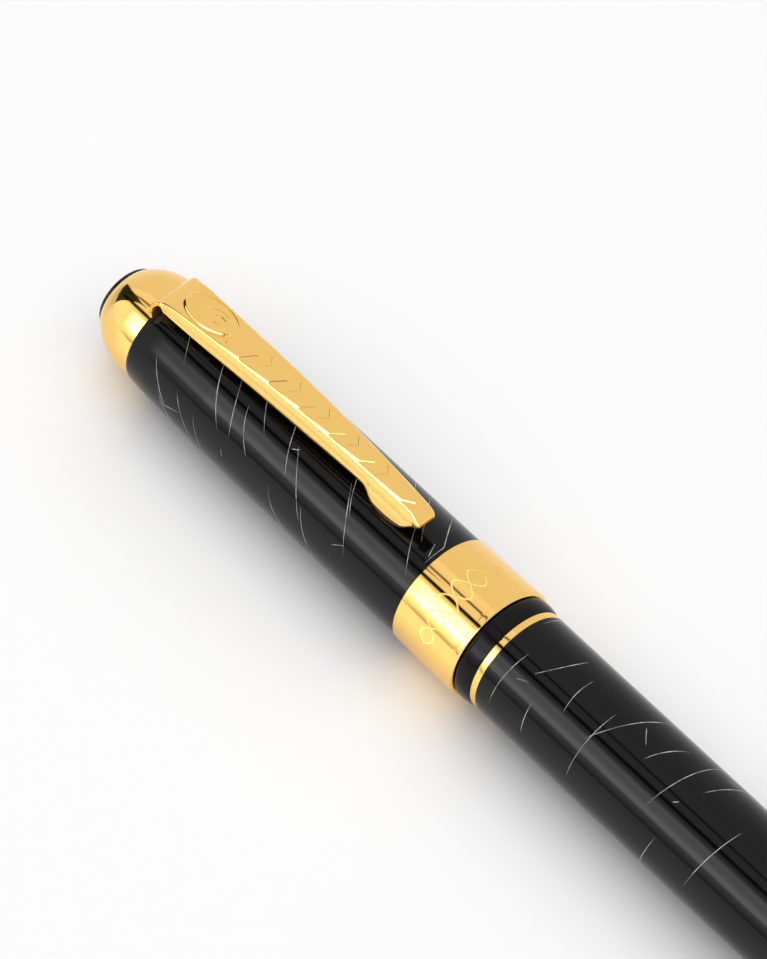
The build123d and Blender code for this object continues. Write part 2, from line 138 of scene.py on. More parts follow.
class Tree:
    """Adds nodes to a shader or geometry tree and links them as they are added."""

    def __init__(self, tree):
        self.tree = tree

    def add(self, kind, settings=None, values=None, output=0):
        node = self.tree.nodes.new(kind)
        for name, value in (settings or {}).items():
            if name == "stops":
                self.stops(node.color_ramp, value)
            else:
                setattr(node, name, value)
        for key, value in (values or {}).items():
            self.plug(node.inputs[key], value)
        return Wire(self, node.outputs[output])

    def plug(self, socket, value):
        if isinstance(value, Wire):
            self.tree.links.new(value.socket, socket)
        else:
            socket.default_value = value

    @staticmethod
    def stops(ramp, stops):
        ramp.elements.remove(ramp.elements[1])
        ramp.elements[0].position, ramp.elements[0].color = stops[0]
        for place, colour in stops[1:]:
            ramp.elements.new(place).color = colour

    def split(self, vector):
        """The three parts of a vector."""
        first = self.add("ShaderNodeSeparateXYZ", None, {0: vector})
        return [Wire(self, output) for output in first.socket.node.outputs]

    def join(self, x, y, z):
        return self.add("ShaderNodeCombineXYZ", None, {0: x, 1: y, 2: z})

    def scaled(self, vector, length):
        return self.add("ShaderNodeVectorMath", {"operation": "SCALE"}, {0: vector, "Scale": length})

    def shifted(self, point, direction, length):
        """A point moved by a length along a direction."""
        return self.add("ShaderNodeVectorMath", {"operation": "ADD"},
                        {0: self.scaled(direction, length), 1: point})

    def place(self):
        """Object coordinates, which are the pen's own frame in metres."""
        return self.add("ShaderNodeTexCoord", None, None, "Object")

    def noise(self, scale, detail=2.0, roughness=0.5, at=None):
        """Noise from 0 to 1, scale being the number of features to the metre."""
        return self.add("ShaderNodeTexNoise", {"noise_dimensions": "3D"},
                        {"Vector": at or self.place(), "Scale": scale, "Detail": detail,
                         "Roughness": roughness})

    def blend(self, share, first, second):
        """A mix of two colours."""
        return self.add("ShaderNodeMix", {"data_type": "RGBA"}, {0: share, 6: first, 7: second}, 2)

    def bump(self, height, depth, strength=1.0):
        """A normal bent by a height from 0 to 1 that stands for depth metres."""
        return self.add("ShaderNodeBump", None, {"Height": height, "Distance": depth, "Strength": strength})


# ---- materials ----
def finish(name, **fixed):
    """A new material: its node tree and its Principled shader, with the fixed values set."""
    material = bpy.data.materials.new(name)
    material.use_nodes = True
    shader = material.node_tree.nodes["Principled BSDF"]
    for socket, value in fixed.items():
        shader.inputs[socket.replace("_", " ")].default_value = value
    return material, Tree(material.node_tree), shader


def polished_gold(name="polished_gold", low=0.035, high=0.08):
    """Gold plate: clean reflections, with faint polishing haze and hairline wipe marks."""
    material, tree, shader = finish(name, Metallic=1.0)
    haze = tree.noise(260.0, 3.0)
    tint = tree.noise(90.0, 2.0)
    x, y, z = tree.split(tree.place())
    wipes = tree.noise(1.0, 2.0, 0.6, tree.join(x * 9000.0, y * 700.0, z * 700.0))
    tree.plug(shader.inputs["Base Color"],
              tree.blend(tint, (0.955, 0.590, 0.165, 1), (0.965, 0.620, 0.190, 1)))
    tree.plug(shader.inputs["Roughness"], haze.smooth(0.35, 0.75) * (high - low) + low)
    tree.plug(shader.inputs["Normal"], tree.bump(wipes, 0.0000012, 0.35))
    return material


def black_lacquer():
    """Deep black lacquer: clear gloss with the slightest orange peel, over an uneven black ground."""
    material, tree, shader = finish("black_lacquer", Specular_IOR_Level=0.2, IOR=1.5)
    ground = tree.noise(420.0, 3.0)
    peel = tree.noise(520.0, 1.0)
    tree.plug(shader.inputs["Base Color"],
              tree.blend(ground, (0.0016, 0.0016, 0.0019, 1), (0.0034, 0.0031, 0.0031, 1)))
    tree.plug(shader.inputs["Roughness"], tree.noise(180.0, 2.0) * 0.05 + 0.045)
    tree.plug(shader.inputs["Normal"], tree.bump(peel, 0.0000025, 0.5))
    return material


def hairline_silver():
    """Silver-grey hairline in the lacquer, uneven along its length."""
    material, tree, shader = finish("hairline_silver", Specular_IOR_Level=0.3)
    patches = tree.noise(700.0, 3.0).smooth(0.30, 0.68)
    tree.plug(shader.inputs["Base Color"],
              tree.blend(patches, (0.16, 0.165, 0.17, 1), (0.60, 0.61, 0.62, 1)))
    tree.plug(shader.inputs["Roughness"], tree.noise(300.0) * 0.2 + 0.25)
    return material


def gloss_black(name, low, high, level, ground):
    """Polished black resin or jewel with faint haze."""
    material, tree, shader = finish(name, Specular_IOR_Level=level)
    tree.plug(shader.inputs["Base Color"],
              tree.blend(tree.noise(300.0, 3.0), ground, tuple(2.0 * c for c in ground[:3]) + (1,)))
    tree.plug(shader.inputs["Roughness"], tree.noise(240.0, 3.0) * (high - low) + low)
    tree.plug(shader.inputs["Normal"], tree.bump(tree.noise(900.0, 2.0), 0.0000015, 0.4))
    return material


def turned_metal(name, dark, light, low, high, pitch=0.00012):
    """Turned metal: fine tool rings along the pen's axis, and a little stain."""
    material, tree, shader = finish(name, Metallic=1.0)
    x, _, _ = tree.split(tree.place())
    rings = (x * (2 * math.pi / pitch)).sin() * 0.5 + 0.5
    stain = tree.noise(380.0, 4.0, 0.6)
    tree.plug(shader.inputs["Base Color"], tree.blend(stain, dark, light))
    tree.plug(shader.inputs["Roughness"], stain * (high - low) + low)
    tree.plug(shader.inputs["Normal"], tree.bump(rings, 0.000002, 0.5))
    return material


def moulded_plastic(name, dark, light):
    """Matt moulded plastic with a fine grain."""
    material, tree, shader = finish(name)
    grain = tree.noise(3500.0, 3.0)
    tree.plug(shader.inputs["Base Color"], tree.blend(tree.noise(200.0, 3.0), dark, light))
    tree.plug(shader.inputs["Roughness"], grain * 0.2 + 0.4)
    tree.plug(shader.inputs["Normal"], tree.bump(grain, 0.000006, 0.4))
    return material


def inky_fibre():
    """Bundled fibre soaked with ink."""
    material, tree, shader = finish("inky_fibre")
    x, y, z = tree.split(tree.place())
    strands = tree.noise(1.0, 3.0, 0.6, tree.join(x * 300.0, y * 9000.0, z * 9000.0))
    tree.plug(shader.inputs["Base Color"],
              tree.blend(strands, (0.004, 0.006, 0.02, 1), (0.02, 0.03, 0.12, 1)))
    tree.plug(shader.inputs["Roughness"], strands * 0.3 + 0.55)
    tree.plug(shader.inputs["Normal"], tree.bump(strands, 0.00002, 0.6))
    return material


GOLD = polished_gold()
CLIP_GOLD = polished_gold("polished_gold_clip", 0.04, 0.085)
LACQUER = black_lacquer()
HAIRLINE = hairline_silver()
RESIN = gloss_black("black_resin", 0.09, 0.16, 0.12, (0.0030, 0.0030, 0.0033, 1))
JEWEL = gloss_black("black_jewel", 0.03, 0.07, 0.30, (0.0012, 0.0012, 0.0016, 1))
BRASS = turned_metal("turned_brass", (0.56, 0.36, 0.13, 1), (0.80, 0.58, 0.27, 1), 0.18, 0.34)
STEEL = turned_metal("turned_steel", (0.42, 0.42, 0.44, 1), (0.62, 0.62, 0.64, 1), 0.20, 0.36)
WIRE_STEEL = turned_metal("spring_wire", (0.40, 0.40, 0.42, 1), (0.66, 0.66, 0.68, 1), 0.16, 0.30, 0.00005)
NICKEL = turned_metal("nickel_silver", (0.52, 0.48, 0.40, 1), (0.74, 0.70, 0.62, 1), 0.16, 0.28)
CARBIDE = turned_metal("ball_carbide", (0.25, 0.25, 0.27, 1), (0.38, 0.38, 0.40, 1), 0.08, 0.16, 0.00003)
BLACK_PLASTIC = moulded_plastic("black_plastic", (0.010, 0.010, 0.011, 1), (0.020, 0.020, 0.021, 1))
REFILL_PLASTIC = moulded_plastic("refill_plastic", (0.030, 0.034, 0.045, 1), (0.050, 0.055, 0.070, 1))
RUBBER = moulded_plastic("black_rubber", (0.008, 0.008, 0.008, 1), (0.018, 0.018, 0.018, 1))
FIBRE = inky_fibre()


# ---- outlines ----
def arc_corner(before, corner, after, radius, steps=5):
    """Points of an arc that rounds a corner of an outline."""
    corner = np.array(corner, float)
    toward = [np.array(point, float) - corner for point in (before, after)]
    lengths = [np.linalg.norm(vector) for vector in toward]
    first, second = (vector / length for vector, length in zip(toward, lengths))
    half = math.acos(max(-1.0, min(1.0, float(first @ second)))) / 2
    if half > math.radians(88):
        return [tuple(corner)]
    reach = min(radius / math.tan(half), 0.48 * min(lengths))
    radius = reach * math.tan(half)
    centre = corner + (first + second) / np.linalg.norm(first + second) * radius / math.sin(half)
    start, end = corner + first * reach - centre, corner + second * reach - centre
    turn = math.atan2(start[0] * end[1] - start[1] * end[0], float(start @ end))
    points = []
    for step in range(steps + 1):
        angle = turn * step / steps
        points.append((centre[0] + start[0] * math.cos(angle) - start[1] * math.sin(angle),
                       centre[1] + start[0] * math.sin(angle) + start[1] * math.cos(angle)))
    return points


def rounded(corners, closed=True):
    """An outline from corners that are (x, radius) if sharp, or (x, radius, rounding)."""
    points = []
    count = len(corners)
    for index, corner in enumerate(corners):
        inner = closed or 0 < index < count - 1
        if len(corner) == 3 and inner:
            before, after = corners[index - 1][:2], corners[(index + 1) % count][:2]
            points += arc_corner(before, corner[:2], after, corner[2])
        else:
            points.append(tuple(corner[:2]))
    if closed:
        points.append(points[0])
    return points


def eased(knots, count):
    """A smooth line through knots, by a cubic through each four of them."""
    knots = np.array(knots, float)
    ends = np.vstack([2 * knots[0] - knots[1], knots, 2 * knots[-1] - knots[-2]])
    chords = np.cumsum([0] + [np.linalg.norm(b - a) for a, b in zip(knots, knots[1:])])
    points = []
    for place in np.linspace(0, chords[-1], count):
        k = min(int(np.searchsorted(chords, place, side="right")) - 1, len(knots) - 2)
        t = (place - chords[k]) / (chords[k + 1] - chords[k])
        a, b, c, d = ends[k:k + 4]
        points.append(tuple(0.5 * (2 * b + (c - a) * t + (2 * a - 5 * b + 4 * c - d) * t ** 2
                                   + (3 * b - a - 3 * c + d) * t ** 3)))
    return points


# ---- from geometry nodes to plain meshes ----
def geometry_tree(name, inputs):
    """A geometry node group whose inputs after Geometry are listed as "Kind Name, Kind Name". Returns the
    group, a Tree and the inputs by name."""
    group = bpy.data.node_groups.new(name, "GeometryNodeTree")
    group.interface.new_socket("Geometry", in_out="INPUT", socket_type="NodeSocketGeometry")
    for entry in inputs.split(", "):
        kind, label = entry.split(" ", 1)
        group.interface.new_socket(label, in_out="INPUT", socket_type="NodeSocket" + kind)
    group.interface.new_socket("Geometry", in_out="OUTPUT", socket_type="NodeSocketGeometry")
    tree = Tree(group)
    entry = group.nodes.new("NodeGroupInput")
    return group, tree, {socket.name: Wire(tree, socket) for socket in entry.outputs if socket.name}


def end_tree(group, tree, geometry, material):
    """Ends a tree in Realize Instances and Set Material."""
    plain = tree.add("GeometryNodeRealizeInstances", None, {0: geometry})
    dressed = tree.add("GeometryNodeSetMaterial", None, {"Geometry": plain, "Material": material})
    leave = group.nodes.new("NodeGroupOutput")
    tree.plug(leave.inputs[0], dressed)


def linked(name, data):
    """A new object in the scene."""
    thing = bpy.data.objects.new(name, data)
    bpy.context.scene.collection.objects.link(thing)
    return thing


def evaluated_mesh(thing):
    """A plain mesh of an object as its modifiers leave it; the modifiers are then removed."""
    bpy.context.view_layer.update()
    graph = bpy.context.evaluated_depsgraph_get()
    mesh = bpy.data.meshes.new_from_object(thing.evaluated_get(graph))
    thing.modifiers.clear()
    return mesh


def grown(name, group, start, values):
    """Runs a geometry node group on a start mesh and returns the plain object that it makes."""
    carrier = linked(name + "_start", start)
    modifier = carrier.modifiers.new("grow", "NODES")
    modifier.node_group = group
    for socket in group.interface.items_tree:
        if socket.in_out == "INPUT" and socket.name in values:
            modifier[socket.identifier] = values[socket.name]
    carrier.update_tag()
    mesh = evaluated_mesh(carrier)
    bpy.data.objects.remove(carrier)
    return placed(name, mesh)


def placed(name, mesh):
    """A finished mesh as an object at the origin, with its faces turned outwards."""
    mesh.name = name
    shell = bmesh.new()
    shell.from_mesh(mesh)
    bmesh.ops.recalc_face_normals(shell, faces=shell.faces)
    shell.to_mesh(mesh)
    shell.free()
    return linked(name, mesh)


def settle(piece, body, slot, *replaced):
    """Says which body a finished piece rides on, and hides the CAD nodes it stands for. The slot argument, a
    material slot's name, is not used.
    """
    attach(piece, body)
    if replaced:
        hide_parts(*replaced)


def line_mesh(name, points):
    """A chain of vertices from (x, radius) points in millimetres, the radius along Z."""
    mesh = bpy.data.meshes.new(name)
    mesh.from_pydata([(x * MM, 0, radius * MM) for x, radius in points],
                     [(i, i + 1) for i in range(len(points) - 1)], [])
    return mesh


def lofted(name, points, ring, material, crease, closed=False):
    """A piece skinned over rows of points, each row a closed ring. It is capped, or joined end to start."""
    rows = len(points) // ring
    strips = range(rows if closed else rows - 1)
    faces = [(r * ring + c, r * ring + (c + 1) % ring, (r + 1) % rows * ring + (c + 1) % ring,
              (r + 1) % rows * ring + c) for r in strips for c in range(ring)]
    if not closed:
        faces += [tuple(range(ring - 1, -1, -1)), tuple((rows - 1) * ring + c for c in range(ring))]
    mesh = bpy.data.meshes.new(name)
    mesh.from_pydata([tuple(point) for point in points * MM], [], faces)
    if closed:
        merged = bmesh.new()
        merged.from_mesh(mesh)
        bmesh.ops.remove_doubles(merged, verts=merged.verts, dist=1e-7)
        merged.to_mesh(mesh)
        merged.free()
    piece = placed(name, mesh)
    mesh.materials.append(material)
    mesh.polygons.foreach_set("use_smooth", [True] * len(mesh.polygons))
    mesh.set_sharp_from_angle(angle=math.radians(crease))
    return piece


def turning_tree():
    """Turns an outline about the pen's axis: a grid whose points are read from the outline by index."""
    group, tree, given = geometry_tree("turned_about_axis", "Int Segments, Material Material")
    outline = given["Geometry"]
    size = tree.add("GeometryNodeAttributeDomainSize", {"component": "MESH"}, {0: outline})
    across = given["Segments"] + 1.0
    grid = tree.add("GeometryNodeMeshGrid", None, {"Vertices X": size, "Vertices Y": across})
    index = tree.add("GeometryNodeInputIndex")
    row = ((index + 0.5) / across).floor()
    angle = (index - row * across) / given["Segments"] * (2 * math.pi)
    place = tree.add("GeometryNodeInputPosition")
    spot = tree.add("GeometryNodeSampleIndex", {"data_type": "FLOAT_VECTOR", "domain": "POINT"},
                    {"Geometry": outline, "Value": place, "Index": row})
    x, _, radius = tree.split(spot)
    moved = tree.add("GeometryNodeSetPosition", None,
                     {"Geometry": grid, "Position": tree.join(x, radius * angle.cos(), radius * angle.sin())})
    closed = tree.add("GeometryNodeMergeByDistance", None, {"Geometry": moved, "Distance": 0.0000002})
    smooth = tree.add("GeometryNodeSetShadeSmooth", None, {"Geometry": closed})
    end_tree(group, tree, smooth, given["Material"])
    return group


TURNED = turning_tree()
SEGMENTS = 256
CREASE = 32.0                # degrees: sharper edges stay crisp


def turned(name, outline, material, segments=SEGMENTS):
    """A piece turned about the pen's axis."""
    piece = grown(name, TURNED, line_mesh(name, outline), {"Segments": segments, "Material": material})
    piece.data.set_sharp_from_angle(angle=math.radians(CREASE))
    return piece


# ---- cap ----
def cap_profile():
    """Outside of the cap tube from the band to the dome: straight, then easing in."""
    return [(BAND_X, CAP_R)] + eased([
        (CAP_TOP + 12.2, CAP_R), (CAP_TOP + 8.3, CAP_R - 0.11), (CAP_TOP + 5.7, CAP_R - 0.19),
        (CAP_TOP + 2.8, CAP_R - 0.29), (CAP_TOP + 0.12, CAP_R - 0.50)], 40)


def make_cap_tube():
    """Lacquered tube with its bore, and a notch beside the dome for the clip's neck."""
    bore, top_bore, seat = CAP_R - WALL, CAP_R - 0.99, CAP_R - BAND_SEAT_DEPTH
    bore_step = CAP_TOP + 11.2
    outline = cap_profile() + [
        (CAP_TOP + 0.02, CAP_R - 0.55), (CAP_TOP, CAP_R - 0.62), (CAP_TOP, top_bore), (bore_step, top_bore),
        (bore_step, bore), (CAP_REAR, bore), (CAP_REAR, seat), (BAND_X, seat), (BAND_X, CAP_R)]
    tube = turned("cap_tube_shell", outline, LACQUER)
    notch = bmesh.new()
    width, length, height, corner = 5.9 * MM, 2.6 * MM, 4.0 * MM, 0.35 * MM
    bmesh.ops.create_cube(notch, size=1.0, matrix=Matrix.LocRotScale(
        Vector((CAP_TOP * MM, 0, CAP_R * MM)), None, Vector((length, width, height))))
    uprights = []
    for edge in notch.edges:
        first, last = (vertex.co for vertex in edge.verts)
        inside_tube = min(first.x, last.x) > CAP_TOP * MM
        if inside_tube and abs(first.y - last.y) < MM and abs(first.x - last.x) < MM:
            uprights.append(edge)
    bmesh.ops.bevel(notch, geom=uprights, offset=corner, segments=6, affect="EDGES", profile=0.5)
    cutter_mesh = bpy.data.meshes.new("notch_cutter")
    notch.to_mesh(cutter_mesh)
    notch.free()
    cutter = linked("notch_cutter", cutter_mesh)
    cut = tube.modifiers.new("notch", "BOOLEAN")
    cut.operation, cut.object, cut.solver = "DIFFERENCE", cutter, "EXACT"
    mesh = evaluated_mesh(tube)
    bpy.data.objects.remove(cutter)
    old = tube.data
    tube.data = mesh
    bpy.data.meshes.remove(old)
    mesh.name = "cap_tube_shell"
    mesh.set_sharp_from_angle(angle=math.radians(CREASE))
    settle(tube, "cap", "black_lacquer", "cap_tube")


def make_cap_band():
    """Wide gold band with a fine groove and a rolled bead at the lip."""
    seat, bore = CAP_R - BAND_SEAT_DEPTH, CAP_R - WALL
    groove_x, groove = LIP_X - 0.88, BAND_FLAT_R - 0.08
    tube_end = LIP_X - 0.9
    outline = rounded([(BAND_X, seat), (BAND_X, BAND_FLAT_R, 0.09), (groove_x - 0.16, BAND_FLAT_R, 0.06),
                       (groove_x - 0.04, groove, 0.03), (groove_x + 0.04, groove, 0.03),
                       (groove_x + 0.10, BAND_R, 0.30), (LIP_X, BAND_R - 0.02, 0.42),
                       (LIP_X, bore, 0.05), (tube_end, bore), (tube_end, seat)])
    settle(turned("cap_band_shell", outline, GOLD, 320), "cap", "gold_plate", "cap_band")


def make_finial():
    """Gold dome with its black jewel."""
    edge = JEWEL_R + 0.12
    seat_x, hole_end = DOME_X + 1.0, DOME_X + 2.6
    base = CAP_R - WALL
    dome = eased([(CAP_TOP - 0.02, base), (CAP_TOP - 1.3, DOME_R - 0.02), (CAP_TOP - 3.05, DOME_R - 0.14),
                  (CAP_TOP - 4.75, DOME_R - 0.61), (CAP_TOP - 6.15, DOME_R - 1.37),
                  (DOME_X + 0.03, edge + 0.15)], 60)
    outline = [(hole_end, 0.0), (hole_end, STUD_HOLE_R), (CAP_TOP, STUD_HOLE_R), (CAP_TOP, base - 0.10)]
    outline += dome + [(DOME_X - 0.04, edge + 0.06), (DOME_X - 0.06, edge - 0.03),
                       (DOME_X - 0.02, JEWEL_R + 0.02), (seat_x, JEWEL_R), (seat_x, 0.0)]
    settle(turned("finial_dome_shell", outline, GOLD), "cap", "gold_plate", "finial_dome")
    settle(turned("finial_jewel_lens", jewel_outline(DOME_X, seat_x, JEWEL_R, DOME_X - JEWEL_X), JEWEL),
           "cap", "black_jewel", "finial_jewel")


def jewel_outline(front, seat, radius, bulge):
    """Half outline of a polished disc that stands proud of its seat: a low crown, a rounded rim and a short
    straight side."""
    outward = math.copysign(1.0, front - seat)
    rim = bulge * 0.38
    height = bulge * 0.76
    crown = [(front + outward * (bulge - (bulge - height) * (k / 10) ** 2), (radius - rim) * k / 10)
             for k in range(11)]
    edge = [(front + outward * (height - rim + rim * math.cos(a)), radius - rim + rim * math.sin(a))
            for a in np.linspace(0.25, math.pi / 2, 8)]
    return crown + edge + [(seat, radius - 0.01), (seat, 0.0)]


# ---- clip ----
SHEET = 0.45                 # thickness
GROOVES = (0.14, 0.42)       # two fine grooves along the flange, this far below its fold
GROOVE_DEPTH = 0.06
GROOVE_WIDTH = 0.07
PANEL_POINTS = [-48.35] + [-43.55 + 4.83 * k for k in range(5)] + [-17.55]
BOSS_X, BOSS_LONG, BOSS_WIDE = -51.85, 3.95, 1.9
# side views are (x, z) and half widths (x, y)
BEND_X, TIP_X = -57.3, -17.4
NECK_LINE = [(CLIP_X + 0.05, 7.05), (CLIP_X + 0.05, 7.55), (CLIP_X + 0.16, 7.98), (-58.62, 8.70),
             (-58.10, 9.42), (-57.75, 9.76), (BEND_X, 10.02)]
BLADE_LINE = [(BEND_X, 10.02), (-56.4, 10.38), (-55.0, 10.72), (-50.0, 11.22), (-44.0, 11.68),
              (-38.0, 11.95), (-32.0, 12.03), (-26.0, 11.88), (-20.5, 11.52), (TIP_X, 11.22)]
TIP_LINE = [(TIP_X, 11.22), (-16.75, 11.02), (-16.25, 10.68), (-15.88, 10.27), (-15.70, 9.95),
            (-15.72, 9.72)]
CLIP_WIDTHS = [(-59.3, 2.68), (-58.4, 2.70), (-57.6, 2.78), (-56.4, 2.80), (-50.0, 2.58), (-44.0, 2.36),
               (-38.0, 2.15), (-31.0, 1.92), (-25.0, 1.72), (-17.2, 1.44), (-16.2, 1.38), (-15.8, 1.24),
               (-15.6, 1.0)]
FLANGE_LINE = [(BEND_X, 9.0), (-50.0, 8.95), (-44.0, 9.15), (-34.0, 9.28), (-28.0, 9.46), (-24.7, 9.44),
               (-23.9, 9.05), (-23.05, 8.22), (-22.25, 7.57), (-21.4, 7.19), (-20.3, 7.04), (-19.2, 7.16),
               (-18.3, 7.60), (-17.5, 8.22), (-16.8, 8.98), (-16.2, 9.50), (-15.6, 9.72)]


def top_line():
    """The clip's outer line, side on: up the neck, round the bend, along the blade and down the tip."""
    neck, blade, tip = eased(NECK_LINE, 64), eased(BLADE_LINE, 560), eased(TIP_LINE, 36)
    return np.array(neck[:-1] + blade[:-1] + tip), len(neck) - 1


def relief(x, across, half):
    """Height of the ornament on the blade: an oval boss at the head, then overlapping arrow panels."""
    side = half - 0.50
    away = np.abs(across)
    inside = 1 - smoothstep(side - 0.10, side + 0.12, away)
    # arrow panels, each rising towards an edge that points to the tip
    height = np.zeros(np.broadcast(x, across).shape)
    arm = 1.32 * np.minimum(away / side, 1.0)
    for start, point in zip(PANEL_POINTS, PANEL_POINTS[1:]):
        rise = np.clip((x - start + arm) / (point - start), 0, 1)
        step = smoothstep(-0.12, 0.12, point - arm - x) * smoothstep(-0.02, 0.02, x - start + arm)
        height += inside * step * (0.01 + 0.155 * rise ** 1.8)
        if start > PANEL_POINTS[0]:
            # a small open mark behind the point
            mark = bump_at(x, start + 1.93 - 0.95 * away, 0.085)
            height -= 0.085 * mark * (1 - smoothstep(0.80, 0.95, away))
    # oval boss with smaller rings near its lower end, and a round pit beside it
    oval = np.hypot((x - BOSS_X) / BOSS_LONG, across / BOSS_WIDE)
    height = np.where(oval < 1.25, height * smoothstep(1.02, 1.25, oval), height)
    height += 0.17 * (1 - smoothstep(0.90, 1.0, oval)) * (1 - 0.35 * smoothstep(0.0, 1.0, 1 - oval))
    height -= 0.07 * bump_at(oval, 1.06, 0.045)
    for size, depth in ((0.62, 0.05), (0.30, 0.06)):
        ring = np.hypot((x + 50.1 + 0.9 * size) / (3.3 * size), across / (1.75 * size))
        height -= depth * bump_at(ring, 1.0, 0.07 / size ** 0.5)
    return height - 0.12 * bump_at(np.hypot(x + 47.6, across + 1.45), 0, 0.17)


def smoothstep(low, high, value):
    t = np.clip((value - low) / (high - low), 0, 1)
    return t * t * (3 - 2 * t)


def bump_at(value, centre, width):
    return np.exp(-((value - centre) / width) ** 2)


def along(table, x):
    """Smooth value at x from a short table of (x, value)."""
    return np.interp(x, *zip(*eased(table, 400)))


def clip_depths(x, z, roof, on_blade):
    """How far each section of the clip hangs below the outer line: its flanges, and its inside face."""
    under = along(FLANGE_LINE, x)
    flange = np.maximum(z - under, 0.02) - SHEET
    depth = SHEET + flange * smoothstep(BEND_X - 0.1, BEND_X + 0.4, x) * on_blade
    depth = np.where(x > TIP_X, np.maximum(z - under, 0.05), depth)
    roof_depth = np.where(on_blade, np.minimum(z - roof, depth), SHEET)
    roof_depth = np.where(x > -16.15, depth, roof_depth)
    return depth, np.maximum(np.minimum(roof_depth, depth), np.minimum(0.3, depth))


def clip_loop(half, depth, roof_depth, bulge, grooved):
    """One closed section of the clip as (across, down): a sheet whose sides fold down into flanges."""
    fold = min(0.56, 0.45 * depth)
    turn = min(1.15, 0.46 * depth)

    def flare(down):
        """How far the flange stands out: more and more, until it curls back under its lower edge."""
        share = max(down - 0.5 * turn, 0.0) / max(depth - 0.5 * turn, 0.01)
        out = bulge * (share / 0.8 if share < 0.8 else math.cos((share - 0.8) / 0.2 * math.pi / 2) ** 0.5)
        return out - grooved * sum(GROOVE_DEPTH * bump_at(down, turn + low, GROOVE_WIDTH) for low in GROOVES)

    levels = [turn + low + GROOVE_WIDTH * k for low in GROOVES for k in (-1.5, -0.7, 0.0, 0.7, 1.5)]
    if depth <= levels[-1] + 0.14:
        levels = [turn + (depth - turn) * k / 11 for k in range(1, 11)]
    levels += [levels[-1] + (depth - levels[-1]) * share for share in (0.3, 0.55, 0.75, 0.9, 1.0)]
    near = [(-half - flare(down), down) for down in reversed(levels)]
    near += [(-half + fold * (1 - math.cos(a)) - flare(turn * (1 - math.sin(a))), turn * (1 - math.sin(a)))
             for a in np.linspace(0, math.pi / 2, 12)]
    flat = [(across, 0.0) for across in np.linspace(-half + fold, half - fold, 70)[1:-1]]
    inner = half - min(SHEET, 0.45 * half)
    room = depth - roof_depth
    soft = min(0.12, 0.45 * max(room, 0.0))
    inside = [(inner, depth), (inner, roof_depth + room * 0.5), (inner, roof_depth + soft),
              (inner - soft, roof_depth)]
    return near + flat + mirrored_side(near) + inside + mirrored_side(inside)


def mirrored_side(points):
    return [(-across, down) for across, down in reversed(points)]


def make_clip():
    """Folded sheet clip, lofted along its outer line; its ornament is part of the mesh."""
    line, bend_end = top_line()
    x, z = line[:, 0], line[:, 1]
    slope = np.gradient(line, axis=0)
    slope /= np.linalg.norm(slope, axis=1)[:, None]
    on_blade = np.arange(len(x)) >= bend_end
    # the sections hang square to the sheet in the neck, then turn to straight down
    square = np.stack([slope[:, 1], -slope[:, 0]], axis=1)
    drop = (smoothstep(BEND_X - 0.1, BEND_X + 1.1, x) * on_blade)[:, None]
    hang = square * (1 - drop) + np.array([[0.0, -1.0]]) * drop
    hang /= np.linalg.norm(hang, axis=1)[:, None]
    # the sheet's inside face, without the points that double back in the bend
    inner_line = (line + SHEET * square)[on_blade]
    keep = np.concatenate([[True], np.diff(np.maximum.accumulate(inner_line[:, 0])) > 1e-6])
    roof = np.interp(x, inner_line[keep][:, 0], inner_line[keep][:, 1])

    half = along(CLIP_WIDTHS, x)
    depth, roof_depth = clip_depths(x, z, roof, on_blade)
    lobe = smoothstep(-24.4, -22.2, x) * (1 - smoothstep(-18.2, -16.2, x))
    bulge = 0.10 * smoothstep(-57.0, -55.0, x) * (1 - smoothstep(-18.0, -16.4, x)) + 0.40 * lobe
    grooved = smoothstep(-56.8, -55.8, x) * (1 - smoothstep(-17.6, -16.9, x))
    loops = np.array([clip_loop(*sizes) for sizes in zip(half, depth, roof_depth, bulge, grooved)])
    across, down = loops[:, :, 0], loops[:, :, 1]
    raised = relief(x[:, None], across, half[:, None]) * (down < 0.02)
    raised *= (smoothstep(-57.0, -56.4, x) * (1 - smoothstep(TIP_X, TIP_X + 0.4, x)))[:, None]
    down = down - raised
    points = np.stack([x[:, None] + hang[:, 0:1] * down, across, z[:, None] + hang[:, 1:2] * down], axis=2)
    settle(lofted("clip_blade_sheet", points.reshape(-1, 3), across.shape[1], CLIP_GOLD, 50),
           "clip", "gold_plate", "clip_blade")


# ---- section ----
INSERT_SEAT_R = 4.6          # the insert's spigot in the grip, and the hole in the trim ring
CONE_SEAT_X, CONE_SEAT_R = -39.5, 4.2
LAND_R = 5.85                # the grip's land, which holds the snap ring in a groove


